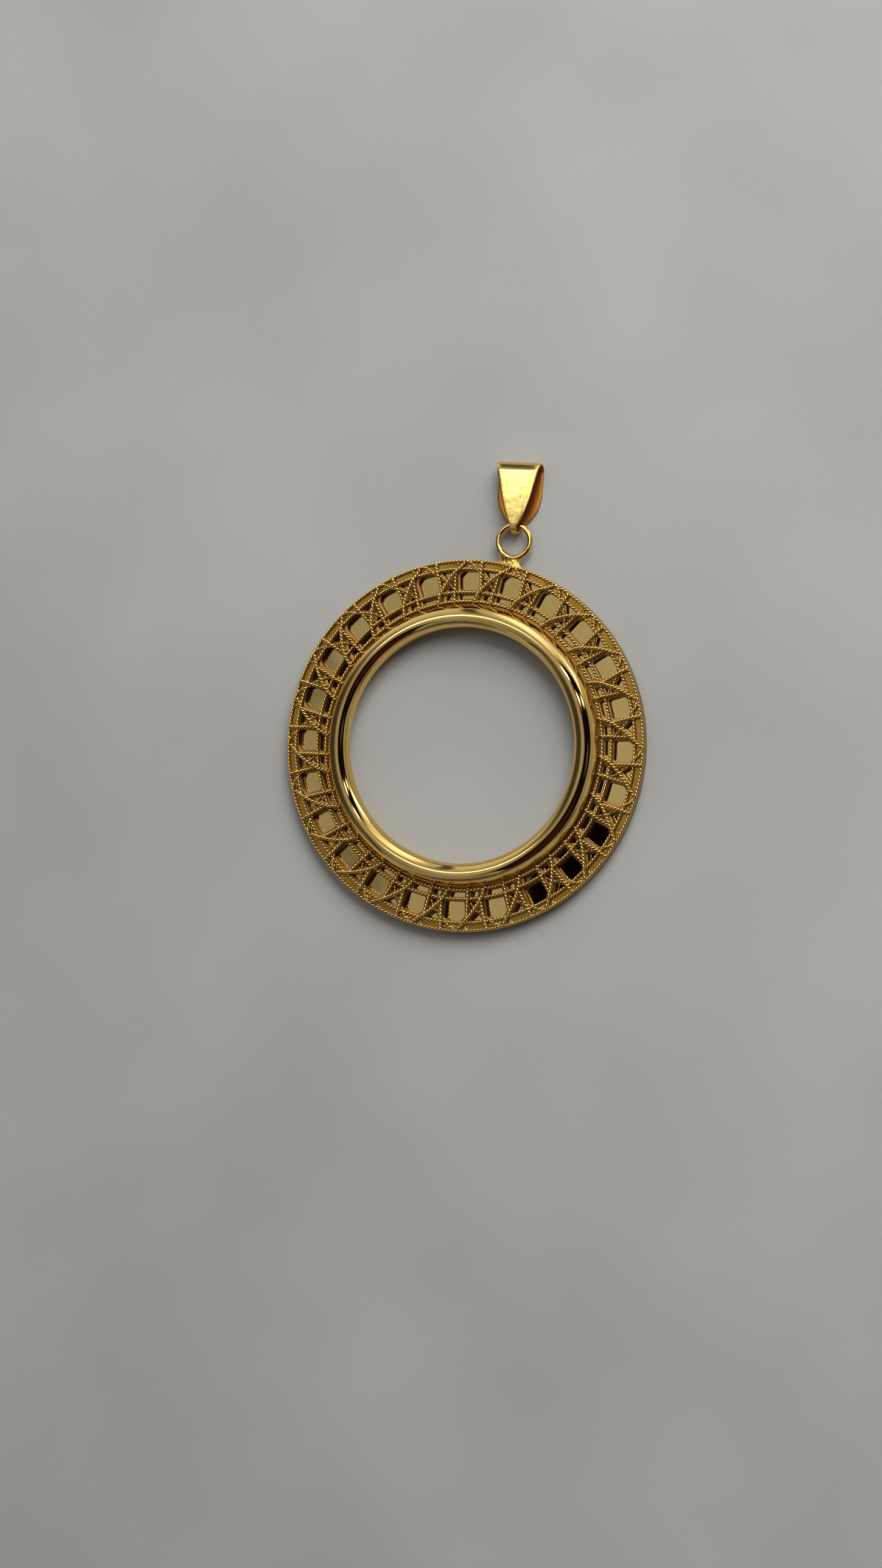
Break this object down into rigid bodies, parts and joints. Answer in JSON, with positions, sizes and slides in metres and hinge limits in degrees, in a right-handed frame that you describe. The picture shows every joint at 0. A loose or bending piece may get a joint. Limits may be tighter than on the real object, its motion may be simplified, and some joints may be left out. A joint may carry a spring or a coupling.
{
  "type": "frame pendant",
  "caption": "Round openwork coin frame pendant with a wide polished bezel, a pierced rope-wire band, a soldered jump ring and a folded tapering bail.",
  "frame": {"origin": "middle of the round opening, on the surface that the pendant lies on", "axes": "+Z out of the face that is seen when worn, +Y from the middle to the jump ring, +X to the right as seen from the front"},
  "size_m": [0.058, 0.0743, 0.0043],
  "materials": {
    "frame_gold": "polished yellow gold",
    "plate_gold": "mirror polished yellow gold sheet",
    "bail_gold": "polished yellow gold"
  },
  "bodies": {
    "frame": {"coin_frame": "frame_gold", "back_plate": "plate_gold"},
    "bail": {"bail": "bail_gold"}
  },
  "joints": [
    {"name": "bail_swing", "type": "hinge", "parent": "frame", "child": "bail", "pos_m": [-0.00043, 0.03509, 0.0015], "axis": [0.9848, 0.1736, 0], "range_deg": [-75, 140]}
  ]
}
